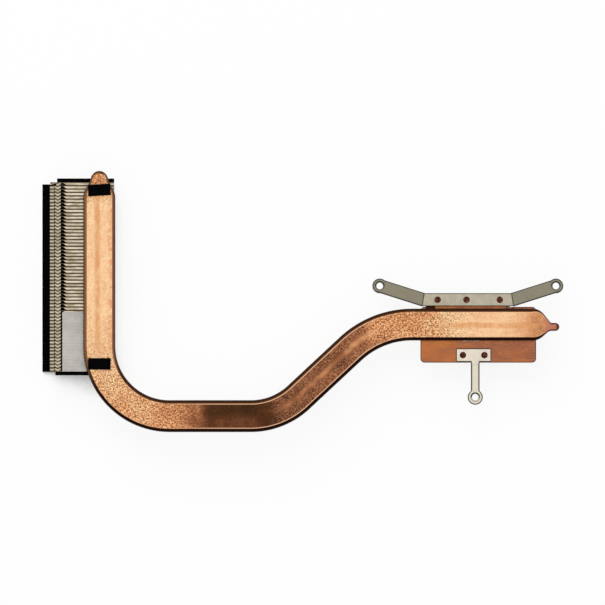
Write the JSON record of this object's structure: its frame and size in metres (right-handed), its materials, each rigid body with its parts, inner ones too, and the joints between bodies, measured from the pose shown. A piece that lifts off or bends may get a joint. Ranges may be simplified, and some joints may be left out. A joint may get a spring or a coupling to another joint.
{
  "type": "laptop heatsink",
  "caption": "Laptop heatsink: a flattened, bent copper heat pipe from a copper cold plate with sprung screw brackets to a zipped aluminium fin stack.",
  "frame": {"origin": "middle of the cold plate's underside, the face that presses on the processor", "axes": "+X along the part away from the fin stack, +Y across the plate towards its tab and long bracket, +Z away from the processor"},
  "size_m": [0.1795, 0.0899, 0.0127],
  "materials": {
    "pipe_copper": "bare copper, satin with orange peel at the bends",
    "wick_copper": "sintered copper powder, matte",
    "plate_copper": "brushed copper",
    "rivet_copper": "dark staked copper",
    "fin_aluminium": "bare sheet, satin",
    "bracket_steel": "bare spring steel, matte",
    "tee_steel": "bare spring steel, satin",
    "solder": "dull solder",
    "black_foam": "black closed-cell foam",
    "label_paper": "silver-grey label, matte"
  },
  "bodies": {
    "root": {"heat_pipe": "pipe_copper", "pipe_wick": "wick_copper", "fins": "fin_aluminium", "upper_end_fin": "fin_aluminium", "lower_end_plate": "fin_aluminium", "fin_solder": "solder", "plate_solder": "solder", "cold_plate": "plate_copper", "cpu_bracket": "bracket_steel", "tee_bracket": "tee_steel", "cpu_bracket_rivets": "rivet_copper", "tee_bracket_rivets": "rivet_copper", "outlet_foam": "black_foam", "upper_end_foam": "black_foam", "lower_end_foam": "black_foam", "upper_pipe_pad": "black_foam", "lower_pipe_pad": "black_foam", "fin_label": "label_paper"}
  },
  "joints": []
}
